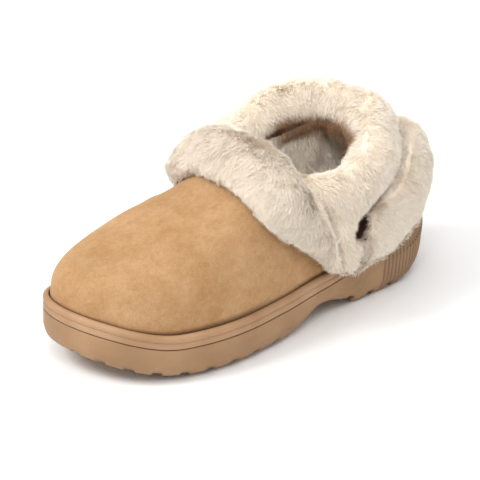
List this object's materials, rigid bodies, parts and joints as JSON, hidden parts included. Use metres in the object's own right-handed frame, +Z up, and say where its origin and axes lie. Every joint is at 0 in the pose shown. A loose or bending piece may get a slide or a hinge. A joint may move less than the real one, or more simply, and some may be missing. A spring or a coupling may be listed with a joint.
{
  "type": "clog slipper",
  "caption": "Left clog slipper: seamless suede upper, deep fleece cuff, collar and heel strap, and a moulded lugged sole with a rim.",
  "frame": {"origin": "middle of the bounding box in plan, on the floor that the sole stands on", "axes": "+X from the heel to the toe, +Y to the outer side of the foot, +Z up"},
  "size_m": [0.272, 0.1154, 0.1236],
  "materials": {
    "sole": "matt moulded foam rubber",
    "rim": "matt moulded foam rubber",
    "footbed": "short fleece",
    "suede": "fine napped suede",
    "fleece": "deep soft fleece"
  },
  "bodies": {
    "root": {"outsole": "sole", "midsole": "rim", "insole": "footbed", "upper": "suede", "vamp_cuff": "fleece", "collar_ring": "fleece", "heel_strap": "fleece"}
  },
  "joints": []
}
